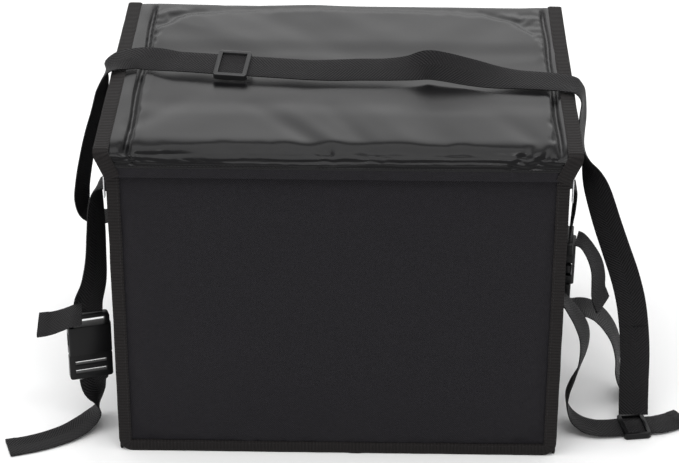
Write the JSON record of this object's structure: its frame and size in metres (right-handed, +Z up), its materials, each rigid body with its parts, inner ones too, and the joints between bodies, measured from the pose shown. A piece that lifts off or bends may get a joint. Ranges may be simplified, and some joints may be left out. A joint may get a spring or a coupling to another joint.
{
  "type": "insulated food carrier",
  "caption": "Soft insulated food delivery box with a zipped, foil-lined lid, bound edges, a sling strap with adjuster and buckled side straps.",
  "frame": {"origin": "centre of the base on the surface the carrier stands on", "axes": "+Z up, -Y out of the front panel, +X to the right as seen from the front"},
  "size_m": [0.7008, 0.3652, 0.3674],
  "materials": {
    "pvc": "semi-gloss wipe-clean coated sheet",
    "oxford": "matte woven polyester",
    "binding": "ribbed grosgrain tape",
    "webbing": "woven webbing",
    "foam": "closed-cell foam",
    "foil": "crinkled foil laminate",
    "board": "moulded sheet",
    "closure": "hook and loop pile",
    "zip_tape": "knitted zip tape",
    "zip_teeth": "moulded coil",
    "zip_metal": "polished nickel",
    "buckle": "moulded acetal"
  },
  "bodies": {
    "body": {"back_binding": "binding", "back_cover": "oxford", "back_foam": "foam", "base_board": "board", "base_cover": "oxford", "base_foam": "foam", "floor_lock": "buckle", "floor_webbing": "webbing", "foil_liner": "foil", "front_binding": "binding", "front_cover": "oxford", "front_foam": "foam", "hinge_tape": "oxford", "hook_strip": "closure", "left_buckle_plug": "buckle", "left_buckle_socket": "buckle", "left_foam": "foam", "left_side_cover": "oxford", "left_side_strap": "webbing", "left_strap_patches": "webbing", "left_strap_stub": "webbing", "left_strap_tail": "webbing", "left_zip_tape": "zip_tape", "left_zip_teeth": "zip_teeth", "right_buckle_plug": "buckle", "right_buckle_socket": "buckle", "right_foam": "foam", "right_side_cover": "oxford", "right_side_strap": "webbing", "right_strap_patches": "webbing", "right_strap_stub": "webbing", "right_strap_tail": "webbing", "right_zip_tape": "zip_tape", "right_zip_teeth": "zip_teeth", "rim_binding": "binding", "side_base_binding": "binding", "sling_end_loop": "webbing", "sling_left": "webbing", "sling_right": "webbing"},
    "lid": {"lid_cover": "pvc", "lid_foam": "foam", "lid_foil": "foil", "lid_front_lip": "pvc", "left_lid_binding": "binding", "right_lid_binding": "binding", "loop_strip": "closure", "left_lid_zip_tape": "zip_tape", "right_lid_zip_tape": "zip_tape", "left_lid_zip_teeth": "zip_teeth", "right_lid_zip_teeth": "zip_teeth", "sling_over_lid": "webbing"},
    "sling_glide": {"sling_glide": "buckle"},
    "left_zip_slider": {"left_zip_slider": "zip_metal"},
    "right_zip_slider": {"right_zip_slider": "zip_metal"},
    "left_zip_pull": {"left_zip_pull": "zip_metal"},
    "right_zip_pull": {"right_zip_pull": "zip_metal"},
    "left_buckle_outer_prong": {"left_buckle_outer_prong": "buckle"},
    "left_buckle_inner_prong": {"left_buckle_inner_prong": "buckle"},
    "right_buckle_outer_prong": {"right_buckle_outer_prong": "buckle"},
    "right_buckle_inner_prong": {"right_buckle_inner_prong": "buckle"}
  },
  "joints": [
    {"name": "lid_hinge", "type": "hinge", "parent": "body", "child": "lid", "pos_m": [0, 0.1733, 0.338], "axis": [-1, 0, 0], "range_deg": [0, 110], "deforming": ["sling_left", "sling_right", "hinge_tape"]},
    {"name": "sling_glide_slide", "type": "slide", "parent": "lid", "child": "sling_glide", "axis": [0.9918, -0.1277, 0], "range_m": [-0.028, 0.045]},
    {"name": "left_zip_slide", "type": "slide", "parent": "body", "child": "left_zip_slider", "axis": [0, 1, 0], "range_m": [0, 0.26]},
    {"name": "left_zip_pull_swing", "type": "hinge", "parent": "left_zip_slider", "child": "left_zip_pull", "pos_m": [-0.2243, -0.156, 0.308], "axis": [0, 1, 0], "range_deg": [0, 100]},
    {"name": "right_zip_slide", "type": "slide", "parent": "body", "child": "right_zip_slider", "axis": [0, 1, 0], "range_m": [0, 0.26]},
    {"name": "right_zip_pull_swing", "type": "hinge", "parent": "right_zip_slider", "child": "right_zip_pull", "pos_m": [0.2243, -0.156, 0.308], "axis": [0, -1, 0], "range_deg": [0, 100]},
    {"name": "left_outer_prong_press", "type": "hinge", "parent": "body", "child": "left_buckle_outer_prong", "pos_m": [-0.26106, -0.12336, 0.084], "axis": [-0.3007, 0.9537, 0], "range_deg": [0, 8], "stiffness_Nm_per_rad": 0.05},
    {"name": "left_inner_prong_press", "type": "hinge", "parent": "body", "child": "left_buckle_inner_prong", "pos_m": [-0.24294, -0.11764, 0.084], "axis": [0.3007, -0.9537, 0], "range_deg": [0, 8], "stiffness_Nm_per_rad": 0.05},
    {"name": "right_outer_prong_press", "type": "hinge", "parent": "body", "child": "right_buckle_outer_prong", "pos_m": [0.23049, -0.08255, 0.165], "axis": [0.9945, -0.1045, 0], "range_deg": [0, 8], "stiffness_Nm_per_rad": 0.05},
    {"name": "right_inner_prong_press", "type": "hinge", "parent": "body", "child": "right_buckle_inner_prong", "pos_m": [0.22851, -0.10145, 0.165], "axis": [-0.9945, 0.1045, 0], "range_deg": [0, 8], "stiffness_Nm_per_rad": 0.05}
  ]
}
